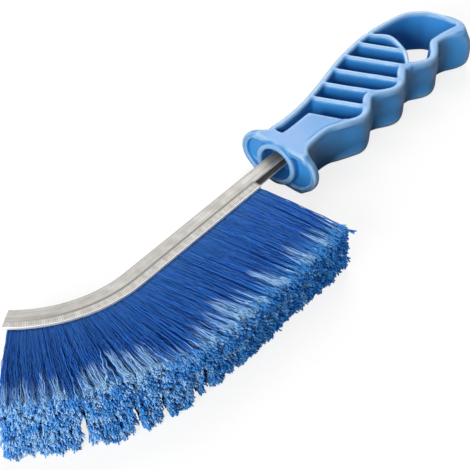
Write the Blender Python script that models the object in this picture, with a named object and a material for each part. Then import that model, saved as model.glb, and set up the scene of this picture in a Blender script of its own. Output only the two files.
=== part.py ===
"""Hand brush of the bent strip kind: an open-work moulded handle, a folded steel channel
and filament bristles that are doubled round a wire inside the channel.

The brush lies on its side. X runs along the straight part of the strip towards the handle,
Y points to the spine side and the bristles point to -Y. Z is up and the table is z = 0.
"""
import bpy
import bmesh
import math
import random
from mathutils import Vector

MM = 0.001
MITRE_LIMIT = 0.5

# Handle: one polypropylene moulding, its thickness measured square to its flat sides
HANDLE_THICKNESS = 18.5 * MM
MID_Z = HANDLE_THICKNESS / 2
FIT_GAP = 0.3 * MM

# Grip outline in the mid plane: crests between the fingers, and the hollows between them
GRIP_FRONT_X = 3.0 * MM
NECK_X = 14.0 * MM
NECK_REACH = 9.9 * MM
NECK_FLARE = 1.6 * MM
FINGER_PITCH = 23.9 * MM
FIRST_CREST_X = 38.6 * MM
CREST_COUNT = 3
CREST_REACH = 15.8 * MM
HOLLOW_DEPTH = 4.0 * MM
POMMEL_X = 108.0 * MM
POMMEL_REACH = 18.4 * MM
END_X = 115.6 * MM
SPINE_NECK_Y = 8.8 * MM
SPINE_PEAK_X = 82.0 * MM
SPINE_PEAK_Y = 16.9 * MM
OUTLINE_STEPS = 5

# Course of the end and the spine, as shares of their runs and reaches
POMMEL_TURN = (0.3, 0.8)
END_FLAT = 0.42
END_TOP = (0.1, 0.1)
END_SHOULDER = (0.6, 0.5)
SPINE_FALL = (0.3, 0.82)
SPINE_RISE = ((0.7, 0.84), (0.42, 0.36), (0.2, 0.06))

# Half axes of the rounding of the grip's long edges and end, and its fullness (2 is an oval)
NECK_ROUND = 3.2 * MM
FINGER_ROUND = 7.6 * MM
SPINE_ROUND = 2.6 * MM
END_ROUND = 5.0 * MM
ROUND_POWER = 2.4
ROUND_LEVELS = 5

# Openings of the grip
SPINE_RIM = 2.9 * MM
FINGER_RIM = 2.6 * MM
HOLLOW_GAIN = 1.5
WAVE_LEAD = 1.9 * MM
END_RIM = 4.4 * MM
RIB_THICKNESS = 2.3 * MM
RIB_PITCH = 11.0 * MM
RIB_COUNT = 5
FIRST_RIB_X = 37.0 * MM
RIB_LEAN = math.radians(24.0)
BLOCK_END_X = 25.6 * MM
SLOT_START_X = 8.6 * MM
SLOT_WIDTH = 2.8 * MM
BOW_PEAK_X = 87.6 * MM
BOW_PEAK_Y = 7.0 * MM
BOW_FOOT_X = 78.0 * MM
BOW_TOP_LEAN = 3.7 * MM
BOW_LOW = (0.42, 0.64)
HANG_CORNER_Y = -9.8 * MM
HANG_SILL_RISE = 0.4 * MM
EDGE_EASE = 0.7 * MM
RIB_EASE = 0.5 * MM
CURVE_STEPS = 4
RIM_STEPS = 16

# Guard flange and socket
FLANGE_LENGTH = 36.2 * MM
FLANGE_HEIGHT = 18.2 * MM
FLANGE_CENTRE_Y = -0.1 * MM
FLANGE_FRONT_X = 1.8 * MM
FLANGE_THICKNESS = 3.2 * MM
FLANGE_EASE = 1.0 * MM
RECESS_DEPTH = 2.0 * MM
RECESS_WALL = 2.5 * MM
SOCKET_RADIUS = 9.1 * MM
SOCKET_BORE = 6.9 * MM
SOCKET_DEPTH = 8.0 * MM
SOCKET_EASE = 0.6 * MM
TURN_STEPS = 40

# Folded steel channel
SHEET = 0.8 * MM
HEAD_WIDTH = 5.0 * MM
HEAD_HEIGHT = 5.4 * MM
HEAD_CORNER = 1.2 * MM
CRIMP_STEP = 0.5 * MM
LEG_WIDTH = 4.2 * MM
CHANNEL_HEIGHT = 8.8 * MM
CHANNEL_BACK_Y = 3.9 * MM
BEND_X = -80.5 * MM
BEND_RADIUS = 52.0 * MM
BEND_ANGLE = math.radians(51.0)
FRONT_RUN = 1.5 * MM
FRONT_BARE = 1.6 * MM
BRUSH_START_X = -14.5 * MM
TANG_END_X = 20.5 * MM
CORNER_STEPS = 4
STATION_STEP = 3.2 * MM

# Core wire and bristles
WIRE_RADIUS = 0.6 * MM
WIRE_SIDES = 10
BUNDLE_COUNT = 12
BRISTLE_LENGTH = 42.5 * MM
LENGTH_SPREAD = 1.5 * MM
TIP_SPREAD = 18.2 * MM
REAR_LEAN = 4.6 * MM
FRONT_LEAN = 1.8 * MM
LEAN_RUN = 32.0 * MM
STRAND_ROWS = 3
STRANDS_ALONG = 6
STRAND_CLEAR = 0.06 * MM
TIP_ALONG = 1.25 * MM
TIP_ACROSS = 1.3 * MM
FOLD_SLIT = 0.3 * MM
FOLD_STEPS = 3
SEED = 7

# Places that follow from the sizes above
WIRE_DEPTH = HEAD_WIDTH / 2
WIRE_Y = CHANNEL_BACK_Y - WIRE_DEPTH
ARC_LENGTH = BEND_RADIUS * BEND_ANGLE
BRUSH_START = BEND_X - BRUSH_START_X
STRIP_END = ARC_LENGTH + FRONT_RUN
BRUSH_END = STRIP_END - FRONT_BARE


def material(name, colour, roughness, metallic=0.0):
    mat = bpy.data.materials.new(name)
    mat.use_nodes = True
    shader = mat.node_tree.nodes["Principled BSDF"]
    shader.inputs["Base Color"].default_value = (*colour, 1.0)
    shader.inputs["Roughness"].default_value = roughness
    shader.inputs["Metallic"].default_value = metallic
    return mat


def add_object(name, bm, mat=None, smooth_angle=35.0):
    """Make an object of a bmesh, with its faces pointing out and its round sides smooth."""
    bmesh.ops.recalc_face_normals(bm, faces=bm.faces)
    mesh = bpy.data.meshes.new(name)
    bm.to_mesh(mesh)
    bm.free()
    mesh.shade_smooth()
    mesh.set_sharp_from_angle(angle=math.radians(smooth_angle))
    if mat is not None:
        mesh.materials.append(mat)
    obj = bpy.data.objects.new(name, mesh)
    bpy.context.scene.collection.objects.link(obj)
    return obj


def loft(rings, bm=None):
    """Join equal rings of points by quads and cap both ends."""
    bm = bm or bmesh.new()
    rows = [[bm.verts.new(point) for point in ring] for ring in rings]
    count = len(rows[0])
    for low, high in zip(rows, rows[1:]):
        for i in range(count):
            j = (i + 1) % count
            bm.faces.new((low[i], low[j], high[j], high[i]))
    bm.faces.new(rows[0])
    bm.faces.new(rows[-1])
    return bm


def boolean(target, tool, operation):
    tool.hide_render = True
    tool.display_type = "WIRE"
    modifier = target.modifiers.new(operation.lower(), "BOOLEAN")
    modifier.operation = operation
    modifier.solver = "EXACT"
    modifier.object = tool


def spline(points, steps):
    """Catmull-Rom curve through plan points, with equal steps in each span."""
    points = [Vector(p) for p in points]
    last = len(points) - 1
    curve = []
    for i in range(last):
        p0, p1, p2, p3 = (points[min(max(i + k, 0), last)] for k in (-1, 0, 1, 2))
        for step in range(steps):
            t = step / steps
            linear = (p2 - p0) * t
            square = (2 * p0 - 5 * p1 + 4 * p2 - p3) * t * t
            cube = (3 * p1 - p0 - 3 * p2 + p3) * t ** 3
            curve.append(0.5 * (2 * p1 + linear + square + cube))
    return curve + [points[-1]]


def grip_outline():
    """Mid-plane outline: finger side from the guard back, round the end, along the spine."""
    points = [(GRIP_FRONT_X, -NECK_REACH - NECK_FLARE), (NECK_X, -NECK_REACH)]
    points.append((FIRST_CREST_X - FINGER_PITCH / 2, -(2 * NECK_REACH + CREST_REACH) / 3))
    for i in range(CREST_COUNT):
        crest_x = FIRST_CREST_X + i * FINGER_PITCH
        points.append((crest_x, -CREST_REACH))
        points.append((crest_x + FINGER_PITCH / 2, -CREST_REACH + HOLLOW_DEPTH))
    run = END_X - POMMEL_X
    points.append((POMMEL_X, -POMMEL_REACH))
    points.append((END_X - POMMEL_TURN[0] * run, -POMMEL_TURN[1] * POMMEL_REACH))
    points.append((END_X, -END_FLAT * POMMEL_REACH))
    for back, reach in (END_TOP, END_SHOULDER):
        points.append((END_X - back * run, reach * SPINE_PEAK_Y))
    run = SPINE_PEAK_X - NECK_X
    rise = SPINE_PEAK_Y - SPINE_NECK_Y
    points.append((SPINE_PEAK_X + SPINE_FALL[0] * run, SPINE_FALL[1] * SPINE_PEAK_Y))
    points.append((SPINE_PEAK_X, SPINE_PEAK_Y))
    for along, up in SPINE_RISE:
        points.append((NECK_X + along * run, SPINE_NECK_Y + up * rise))
    points.append((NECK_X, SPINE_NECK_Y))
    points.append((GRIP_FRONT_X, SPINE_NECK_Y + NECK_FLARE))
    return spline(points, OUTLINE_STEPS)


def outward_normals(outline):
    """Plan normals of a counter-clockwise open outline whose ends are the guard side."""
    normals = []
    last = len(outline) - 1
    for i in range(len(outline)):
        step = outline[min(i + 1, last)] - outline[max(i - 1, 0)]
        normals.append(Vector((step.y, -step.x)).normalized())
    return normals


def side_y(outline, x, spine):
    """Y of the outline at x, on its spine or its finger side."""
    best = None
    for a, b in zip(outline, outline[1:]):
        if min(a.x, b.x) <= x <= max(a.x, b.x) and a.x != b.x:
            y = a.y + (b.y - a.y) * (x - a.x) / (b.x - a.x)
            if best is None or (y > best if spine else y < best):
                best = y
    return best


def opening_y(outline, x, spine):
    """Edge of the openings at x; the finger side's waves are deeper there and come sooner."""
    if spine:
        return side_y(outline, x, True) - SPINE_RIM
    y = side_y(outline, x + WAVE_LEAD, False)
    return FINGER_RIM - CREST_REACH + (y + CREST_REACH) * HOLLOW_GAIN


def inner_curve(outline, x_from, x_to, spine, steps=RIM_STEPS):
    """Points along the openings' edge on one side."""
    places = [x_from + (x_to - x_from) * i / steps for i in range(steps + 1)]
    return [Vector((x, opening_y(outline, x, spine))) for x in places]


def offset_ring(ring, distance):
    """Move each point of a closed plan ring outward along its mitred normal."""
    count = len(ring)
    area = sum(ring[i].cross(ring[(i + 1) % count]) for i in range(count))
    side = 1.0 if area > 0 else -1.0
    out = []
    for i in range(count):
        before = (ring[i] - ring[i - 1]).normalized()
        after = (ring[(i + 1) % count] - ring[i]).normalized()
        normal = Vector((before.y + after.y, -before.x - after.x)) * side / 2
        out.append(ring[i] + normal.normalized() * distance / max(MITRE_LIMIT, normal.length))
    return out


def through_cutter(name, ring, widen):
    """Prism through the handle; at the two flat sides it widens by the edge easing."""
    levels = [(-2 * EDGE_EASE, widen), (0.0, widen), (EDGE_EASE, 0.0)]
    levels += [(HANDLE_THICKNESS - z, w) for z, w in reversed(levels)]
    rings = [[(p.x, p.y, z) for p in offset_ring(ring, w)] for z, w in levels]
    return add_object(name, loft(rings))


def bow_curve(outline):
    """Hang-hole side of the bowed rib, from the spine rim down to the finger rim."""
    top_x = BOW_PEAK_X - BOW_TOP_LEAN
    top = (top_x, opening_y(outline, top_x, True))
    foot = (BOW_FOOT_X, opening_y(outline, BOW_FOOT_X, False))
    peak = (BOW_PEAK_X, BOW_PEAK_Y)
    low = [peak[axis] + BOW_LOW[axis] * (foot[axis] - peak[axis]) for axis in (0, 1)]
    return spline([top, peak, low, foot], CURVE_STEPS)


def rib_field_ring(outline):
    """Opening that the ribs cross: slot beside the block, block end, both rims, bowed rib."""
    slot_y = opening_y(outline, BLOCK_END_X, True) - SLOT_WIDTH
    bow = [p - Vector((RIB_THICKNESS, 0)) for p in bow_curve(outline)]
    block_foot_x = BLOCK_END_X + (slot_y + NECK_REACH) * math.tan(RIB_LEAN)
    ring = [Vector((SLOT_START_X, slot_y)), Vector((BLOCK_END_X, slot_y))]
    ring += inner_curve(outline, block_foot_x, bow[-1].x, False)
    ring += bow[-2::-1]
    return ring + inner_curve(outline, SLOT_START_X, bow[0].x, True)[-2::-1]


def hang_hole_ring(outline):
    """Leaf-shaped hang hole: bowed rib, finger rim, end corner and the inside of the spine."""
    corner = Vector((END_X - END_RIM, HANG_CORNER_Y))
    hollow_x = FIRST_CREST_X + (CREST_COUNT - 0.5) * FINGER_PITCH - WAVE_LEAD
    near = inner_curve(outline, BOW_FOOT_X, hollow_x, False)
    middle = (near[-1] + corner) / 2 + Vector((0, HANG_SILL_RISE))
    far = []
    for point, normal in zip(outline, outward_normals(outline)):
        if point.x > BOW_PEAK_X and point.y > HANG_CORNER_Y + SPINE_RIM:
            rim = SPINE_RIM + (END_RIM - SPINE_RIM) * max(normal.x, 0.0)
            far.append(point - normal * rim)
    return bow_curve(outline)[:-1] + near + [middle, corner] + far


def rib_slabs():
    """The slanted ribs, standing through the field; their long edges are eased."""
    bm = bmesh.new()
    reach = 2 * POMMEL_REACH
    side = reach * math.tan(RIB_LEAN)
    levels = [(-3 * EDGE_EASE, RIB_EASE), (0.0, RIB_EASE), (EDGE_EASE, 0.0)]
    levels += [(HANDLE_THICKNESS - z, w) for z, w in reversed(levels)]
    for i in range(RIB_COUNT):
        x = FIRST_RIB_X + i * RIB_PITCH
        rings = []
        for z, slim in levels:
            half = (RIB_THICKNESS / 2 - slim) / math.cos(RIB_LEAN)
            low = [(x + side - half, -reach, z), (x + side + half, -reach, z)]
            rings.append(low + [(x - side + half, reach, z), (x - side - half, reach, z)])
        loft(rings, bm)
    return add_object("rib_slabs", bm)


def ease(value, start, end):
    """Smooth step from 0 at start to 1 at end."""
    t = min(max((value - start) / (end - start), 0.0), 1.0)
    return t * t * (3 - 2 * t)


def edge_round(point, normal):
    """How far the flat sides' edge lies inside the mid-plane outline at this point."""
    finger = NECK_ROUND + (FINGER_ROUND - NECK_ROUND) * ease(point.x, NECK_X, FIRST_CREST_X)
    end = END_ROUND * ease(point.x, POMMEL_X - END_ROUND, END_X)
    return Vector((normal.x * end, normal.y * (SPINE_ROUND if normal.y > 0 else finger)))


def grip_body(mat):
    """Solid grip: the outline drawn in towards both flat sides along an oval."""
    outline = grip_outline()
    insets = [edge_round(*pair) for pair in zip(outline, outward_normals(outline))]
    power = 2 / ROUND_POWER
    rings = []
    for level in range(-ROUND_LEVELS, ROUND_LEVELS + 1):
        angle = math.pi / 2 * abs(level) / ROUND_LEVELS
        rise = HANDLE_THICKNESS / 2 * math.sin(angle) ** power
        share = 1 - max(math.cos(angle), 0.0) ** power
        z = MID_Z + math.copysign(rise, level)
        rings.append([(*(point - inset * share), z) for point, inset in zip(outline, insets)])
    return add_object("handle", loft(rings), mat)


def stadium(half_length, radius, steps):
    """Closed outline of two half circles and two straights, in (across, up) pairs."""
    points = []
    for side in (1, -1):
        for i in range(steps + 1):
            angle = math.pi * i / steps - math.pi / 2
            y = side * (half_length - radius + radius * math.cos(angle))
            points.append((y, side * radius * math.sin(angle)))
    return points


def plate(name, drawn_in, levels):
    """Stadium plate square to the strip, drawn in from the flange's edge; levels are (x, ease)."""
    rings = []
    for x, eased in levels:
        inset = drawn_in + eased
        outline = stadium(FLANGE_LENGTH / 2 - inset, FLANGE_HEIGHT / 2 - inset, TURN_STEPS // 3)
        rings.append([(x, FLANGE_CENTRE_Y + y, MID_Z + z) for y, z in outline])
    return add_object(name, loft(rings))


def round_bar(name, levels):
    """Round piece along X on the socket's axis; levels are (x, radius)."""
    turns = [math.tau * i / TURN_STEPS for i in range(TURN_STEPS)]
    rings = []
    for x, radius in levels:
        rings.append([(x, radius * math.cos(a), MID_Z + radius * math.sin(a)) for a in turns])
    return add_object(name, loft(rings))


def make_handle(mat):
    outline = grip_outline()
    body = grip_body(mat)
    field = through_cutter("field_cutter", rib_field_ring(outline), EDGE_EASE)
    boolean(field, rib_slabs(), "DIFFERENCE")
    boolean(body, field, "DIFFERENCE")
    boolean(body, through_cutter("hang_cutter", hang_hole_ring(outline), EDGE_EASE), "DIFFERENCE")

    front = FLANGE_FRONT_X
    back = front + FLANGE_THICKNESS
    edges = [(front, FLANGE_EASE), (front + FLANGE_EASE, 0.0)]
    edges += [(back - FLANGE_EASE, 0.0), (back, FLANGE_EASE)]
    boolean(body, plate("flange", 0.0, edges), "UNION")
    floor = front + RECESS_DEPTH
    edges = [(front - FLANGE_EASE, 0.0), (floor - FLANGE_EASE, 0.0), (floor, FLANGE_EASE)]
    boolean(body, plate("recess_cutter", RECESS_WALL, edges), "DIFFERENCE")
    edges = [(0.0, SOCKET_RADIUS - SOCKET_EASE), (SOCKET_EASE, SOCKET_RADIUS)]
    edges.append((back - FLANGE_EASE / 2, SOCKET_RADIUS))
    boolean(body, round_bar("socket_ring", edges), "UNION")
    edges = [(-SOCKET_EASE, SOCKET_BORE + SOCKET_EASE), (0.0, SOCKET_BORE + SOCKET_EASE)]
    edges += [(SOCKET_EASE, SOCKET_BORE), (SOCKET_DEPTH, SOCKET_BORE)]
    boolean(body, round_bar("socket_bore", edges), "DIFFERENCE")
    boolean(body, tang_slot(), "DIFFERENCE")
    return body


def tang_slot():
    """Blind pocket behind the socket that grips the tang, a clearance wider all round."""
    half = HEAD_WIDTH / 2 + FIT_GAP
    top = CHANNEL_BACK_Y + FIT_GAP
    bottom = CHANNEL_BACK_Y - HEAD_HEIGHT - FIT_GAP
    corners = [(top, half), (top, -half), (bottom, -half), (bottom, half)]
    rings = []
    for x in (SOCKET_DEPTH - SOCKET_EASE, TANG_END_X + FIT_GAP):
        rings.append([(x, y, MID_Z + z) for y, z in corners])
    return add_object("tang_slot", loft(rings))


def strip_frame(s):
    """Point of the wire's line and direction to the mouth, s metres past the bend's start."""
    if s <= 0:
        return Vector((BEND_X - s, WIRE_Y)), Vector((0.0, -1.0))
    angle = min(s / BEND_RADIUS, BEND_ANGLE)
    mouth = Vector((-math.sin(angle), -math.cos(angle)))
    point = Vector((BEND_X, WIRE_Y + BEND_RADIUS)) + mouth * BEND_RADIUS
    run = max(s - ARC_LENGTH, 0.0)
    return point + Vector((-math.cos(angle), math.sin(angle))) * run, mouth


def strip_ring(section, s):
    """A section of (depth from the back, height) pairs, stood across the strip at s."""
    point, mouth = strip_frame(s)
    ring = []
    for depth, z in section:
        plan = point + mouth * (depth - WIRE_DEPTH)
        ring.append((plan.x, plan.y, MID_Z + z))
    return ring


def stations(start, end):
    """Places along the strip: the ends of its straights and even steps in the bend."""
    marks = [start] + [m for m in (0.0, ARC_LENGTH) if start < m < end] + [end]
    places = [start]
    for a, b in zip(marks, marks[1:]):
        bent = a >= 0 and b <= ARC_LENGTH
        count = max(1, round((b - a) / STATION_STEP)) if bent else 1
        places += [a + (b - a) * i / count for i in range(1, count + 1)]
    return places


def channel_side(inset):
    """Half section of the channel from the back's middle to the mouth, drawn in by inset."""
    head = HEAD_WIDTH / 2 - inset
    leg = LEG_WIDTH / 2 - inset
    corner = HEAD_CORNER - inset / 2
    points = []
    for i in range(CORNER_STEPS, -1, -1):
        angle = math.pi / 2 * i / CORNER_STEPS
        depth = inset + corner * (1 - math.sin(angle))
        points.append((depth, head - corner * (1 - math.cos(angle))))
    points += [(HEAD_HEIGHT - CRIMP_STEP / 2, head), (HEAD_HEIGHT + CRIMP_STEP / 2, leg)]
    points.append((CHANNEL_HEIGHT, leg))
    return points


def make_channel(mat):
    """Folded strip; where only the tang runs on, its crimped legs are trimmed off."""
    outer = channel_side(0.0)
    inner = channel_side(SHEET)
    section = [(d, -z) for d, z in reversed(outer)] + outer
    section += list(reversed(inner)) + [(d, -z) for d, z in inner]
    start = BEND_X - TANG_END_X
    rings = [strip_ring(section, s) for s in stations(start, STRIP_END)]
    channel = add_object("channel", loft(rings), mat)
    upper = CHANNEL_BACK_Y - HEAD_HEIGHT
    lower = upper - CHANNEL_HEIGHT
    past = TANG_END_X + SHEET
    corners = [(BRUSH_START_X, upper), (past, upper), (past, lower), (BRUSH_START_X, lower)]
    rings = [[(x, y, MID_Z + z) for x, y in corners] for z in (-HEAD_WIDTH, HEAD_WIDTH)]
    boolean(channel, add_object("leg_cutter", loft(rings)), "DIFFERENCE")
    return channel


def make_core_wire(mat):
    """Wire down the middle of the head, which the filaments are doubled round."""
    turns = [math.tau * i / WIRE_SIDES for i in range(WIRE_SIDES)]
    section = [(WIRE_DEPTH + WIRE_RADIUS * math.cos(a), WIRE_RADIUS * math.sin(a)) for a in turns]
    places = stations(BRUSH_START + FIT_GAP, STRIP_END - FIT_GAP)
    return add_object("core_wire", loft([strip_ring(section, s) for s in places]), mat)


def backing_section():
    """Doubled filaments: a fold round the wire and two legs down to the mouth.

    Also gives the mouth's cells as (side of the section, row out from the slit) pairs.
    """
    head = HEAD_WIDTH / 2 - SHEET - FIT_GAP
    leg = LEG_WIDTH / 2 - SHEET - FIT_GAP
    hole = WIRE_RADIUS + FIT_GAP
    slit = FOLD_SLIT / 2
    mouth = CHANNEL_HEIGHT - FIT_GAP
    neck = HEAD_HEIGHT - CRIMP_STEP / 2 - FIT_GAP
    half = [(mouth, slit + (leg - slit) * i / STRAND_ROWS) for i in range(STRAND_ROWS + 1)]
    half += [(HEAD_HEIGHT, leg), (neck - CRIMP_STEP, head)]
    turns = [math.pi / 2 * i / FOLD_STEPS for i in range(FOLD_STEPS)]
    half += [(WIRE_DEPTH - head * math.sin(a), head * math.cos(a)) for a in turns]
    back = (WIRE_DEPTH - head, 0.0)
    outer = half + [back] + [(d, -z) for d, z in reversed(half)]
    start = math.asin(slit / hole)
    turns = [start + (math.tau - 2 * start) * i / WIRE_SIDES for i in range(WIRE_SIDES + 1)]
    inner = [(WIRE_DEPTH + hole * math.cos(a), -hole * math.sin(a)) for a in turns]
    cells = [(row, row) for row in range(STRAND_ROWS)]
    cells += [(len(outer) - 2 - row, row) for row in range(STRAND_ROWS)]
    return outer + inner, cells


def strand(bm, face, s, row, rng):
    """Draw one strand out of a cell of the backing's mouth to its place at the tips."""
    bmesh.ops.inset_individual(bm, faces=[face], thickness=STRAND_CLEAR, use_even_offset=True)
    base = face.calc_center_median()
    grown = bmesh.ops.extrude_discrete_faces(bm, faces=[face])["faces"][0]
    forward = REAR_LEAN * max(1 - (s - BRUSH_START) / LEAN_RUN, 0.0)
    back = FRONT_LEAN * max(1 - (BRUSH_END - s) / LEAN_RUN, 0.0)
    point, mouth = strip_frame(s + forward - back)
    side = 1.0 if base.z > MID_Z else -1.0
    outer_row = TIP_SPREAD / 2 - TIP_ACROSS / 2
    tip_z = side * outer_row * (2 * row + 1) / (2 * STRAND_ROWS - 1)
    reach = CHANNEL_HEIGHT - WIRE_DEPTH + BRISTLE_LENGTH + rng.uniform(-1, 1) * LENGTH_SPREAD
    centre = point + mouth * reach
    along = Vector((-mouth.y, mouth.x))
    for loop in grown.loops:
        offset = loop.vert.co - base
        plan_side = math.copysign(TIP_ALONG / 2, offset.x * along.x + offset.y * along.y)
        rise = math.copysign(TIP_ACROSS / 2, offset.z)
        plan = centre + along * plan_side
        loop.vert.co = (plan.x, plan.y, MID_Z + tip_z + rise)


def make_bundle(index, mat, rng):
    """One length of the brush: its slice of the backing with the strands fused to it."""
    run = (BRUSH_END - BRUSH_START) / BUNDLE_COUNT
    start = BRUSH_START + index * run + FIT_GAP / 2
    end = start + run - FIT_GAP
    section, cells = backing_section()
    places = [start + (end - start) * i / STRANDS_ALONG for i in range(STRANDS_ALONG + 1)]
    bm = loft([strip_ring(section, s) for s in places])
    bmesh.ops.recalc_face_normals(bm, faces=bm.faces)
    bm.faces.ensure_lookup_table()
    roots = []
    for j in range(STRANDS_ALONG):
        middle = (places[j] + places[j + 1]) / 2
        roots += [(bm.faces[j * len(section) + i], middle, row) for i, row in cells]
    for face, middle, row in roots:
        strand(bm, face, middle, row, rng)
    return add_object(f"bristle_bundle_{index + 1:02d}", bm, mat)


def rest_on_origin(objects):
    """Carry all pieces on one empty and put the bottom centre of their box at the origin."""
    frame = bpy.data.objects.new("brush_frame", None)
    bpy.context.scene.collection.objects.link(frame)
    bpy.context.view_layer.update()
    graph = bpy.context.evaluated_depsgraph_get()
    corners = []
    for obj in objects:
        evaluated = obj.evaluated_get(graph)
        corners += [obj.matrix_world @ vertex.co for vertex in evaluated.data.vertices]
    low = Vector([min(c[axis] for c in corners) for axis in range(3)])
    high = Vector([max(c[axis] for c in corners) for axis in range(3)])
    frame.location = (-(low.x + high.x) / 2, -(low.y + high.y) / 2, -low.z)
    for obj in bpy.context.scene.objects:
        if obj is not frame:
            obj.parent = frame
    print("box mm", [round(v / MM, 2) for v in high - low])
    print("frame shift mm", [round(v / MM, 3) for v in frame.location])


def main():
    for obj in list(bpy.data.objects):
        bpy.data.objects.remove(obj, do_unlink=True)
    plastic = material("moulded_polypropylene", (0.105, 0.303, 0.716), 0.38)
    steel = material("galvanised_steel", (0.66, 0.66, 0.64), 0.36, 1.0)
    wire = material("drawn_steel_wire", (0.45, 0.45, 0.46), 0.35, 1.0)
    filament = material("crimped_filament", (0.03, 0.13, 0.52), 0.5)
    rng = random.Random(SEED)
    pieces = [make_handle(plastic), make_channel(steel), make_core_wire(wire)]
    pieces += [make_bundle(i, filament, rng) for i in range(BUNDLE_COUNT)]
    rest_on_origin(pieces)


main()
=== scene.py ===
"""Hand brush of the bent strip kind: an open-work moulded handle, a folded steel channel, and
filaments doubled round a wire inside the channel, lying on its side on a studio table."""
import math

import bpy
import numpy as np
from bpy.props import FloatProperty, FloatVectorProperty, IntProperty, PointerProperty
from mathutils import Color, Euler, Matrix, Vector


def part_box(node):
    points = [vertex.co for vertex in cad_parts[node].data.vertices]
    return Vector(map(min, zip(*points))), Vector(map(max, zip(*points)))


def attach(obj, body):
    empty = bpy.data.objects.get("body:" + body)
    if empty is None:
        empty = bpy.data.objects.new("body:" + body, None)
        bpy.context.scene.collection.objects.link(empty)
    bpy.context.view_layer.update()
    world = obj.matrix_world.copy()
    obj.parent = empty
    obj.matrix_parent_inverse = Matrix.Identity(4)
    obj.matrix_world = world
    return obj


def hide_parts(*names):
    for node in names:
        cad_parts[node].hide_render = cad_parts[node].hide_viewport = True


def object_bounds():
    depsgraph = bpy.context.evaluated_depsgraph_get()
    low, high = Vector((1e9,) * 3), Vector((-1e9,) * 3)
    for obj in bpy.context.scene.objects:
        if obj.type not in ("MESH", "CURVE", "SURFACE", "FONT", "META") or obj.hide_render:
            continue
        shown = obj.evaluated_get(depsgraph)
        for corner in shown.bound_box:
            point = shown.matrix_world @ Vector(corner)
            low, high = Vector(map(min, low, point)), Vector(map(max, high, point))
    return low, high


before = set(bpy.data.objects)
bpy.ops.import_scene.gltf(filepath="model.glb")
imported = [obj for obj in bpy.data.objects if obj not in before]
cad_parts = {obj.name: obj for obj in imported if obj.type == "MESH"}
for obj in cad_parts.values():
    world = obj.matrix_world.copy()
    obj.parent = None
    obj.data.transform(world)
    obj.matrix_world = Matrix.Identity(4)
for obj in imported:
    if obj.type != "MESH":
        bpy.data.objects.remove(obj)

bl_info = {
    "name": "Bent strip hand brush",
    "version": (1, 0, 0),
    "blender": (4, 5, 0),
    "location": "3D View > Sidebar > Brush",
    "description": "Builds a hand brush with a moulded handle, a folded channel and filaments",
    "category": "Object",
}

MM = 0.001
WHITE = (1.0, 1.0, 1.0, 1.0)
CAD_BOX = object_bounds()
BUNDLES = sorted(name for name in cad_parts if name.startswith("bristle_bundle"))

# The pieces are drawn from the socket: its axis is y = z = 0 and its front is x = 0. The wire
# of the straight part then has this lowest y, which gives the socket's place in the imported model.
WIRE_LOW_Y = 0.8 * MM
HANDLE_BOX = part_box("handle")
SHIFT = Vector((
    HANDLE_BOX[0].x,
    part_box("core_wire")[0].y - WIRE_LOW_Y,
    (HANDLE_BOX[0].z + HANDLE_BOX[1].z) / 2,
))


def linear(code):
    """Scene-linear colour of an sRGB hex code such as #5A96DC."""
    parts = [int(code[i:i + 2], 16) / 255 for i in (1, 3, 5)]
    return tuple(v / 12.92 if v <= 0.04045 else ((v + 0.055) / 1.055) ** 2.4 for v in parts)


def length(name, description, millimetres):
    """A size in metres whose default is given in millimetres."""
    return FloatProperty(
        name=name, description=description, default=millimetres * MM, unit="LENGTH", precision=5
    )


def angle(name, description, degrees):
    return FloatProperty(
        name=name, description=description, default=math.radians(degrees), subtype="ANGLE"
    )


def colour(name, description, code):
    return FloatVectorProperty(
        name=name, description=description, default=linear(code), subtype="COLOR",
        size=3, min=0.0, max=1.0,
    )


class BrushGripSizes(bpy.types.PropertyGroup):
    thickness: length("Thickness", "Grip's height square to its flat sides", 18.5)
    neck_x: length("Neck place", "Distance from the ring's front to the slimmest place", 14.0)
    neck_reach: length("Neck reach", "Finger side's distance from the strip's line", 9.9)
    neck_flare: length("Neck flare", "Growth of the grip where it meets the guard", 1.6)
    crest_x: length("First crest", "Place of the first crest between the fingers", 38.6)
    pitch: length("Finger pitch", "Distance between two crests", 23.9)
    crest_reach: length("Crest reach", "How far the crests stand out", 15.8)
    hollow: length("Hollow depth", "Depth of a finger hollow below the crests", 4.0)
    pommel_x: length("Pommel place", "Place of the last and largest crest", 108.0)
    pommel_reach: length("Pommel reach", "How far the last crest stands out", 18.4)
    end_x: length("Grip end", "Distance from the ring's front to the end", 115.6)
    spine_neck: length("Spine at the neck", "Spine's distance from the strip's line", 8.8)
    spine_x: length("Spine peak place", "Place of the spine's highest point", 82.0)
    spine_peak: length("Spine peak", "How far the spine stands out there", 16.9)
    neck_round: length("Neck rounding", "Half axis of the long edge's rounding", 2.8)
    finger_round: length("Finger rounding", "Half axis of the finger edge's rounding", 6.4)
    spine_round: length("Spine rounding", "Half axis of the spine edge's rounding", 2.6)
    end_round: length("End rounding", "Half axis of the end's rounding", 5.0)


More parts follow.
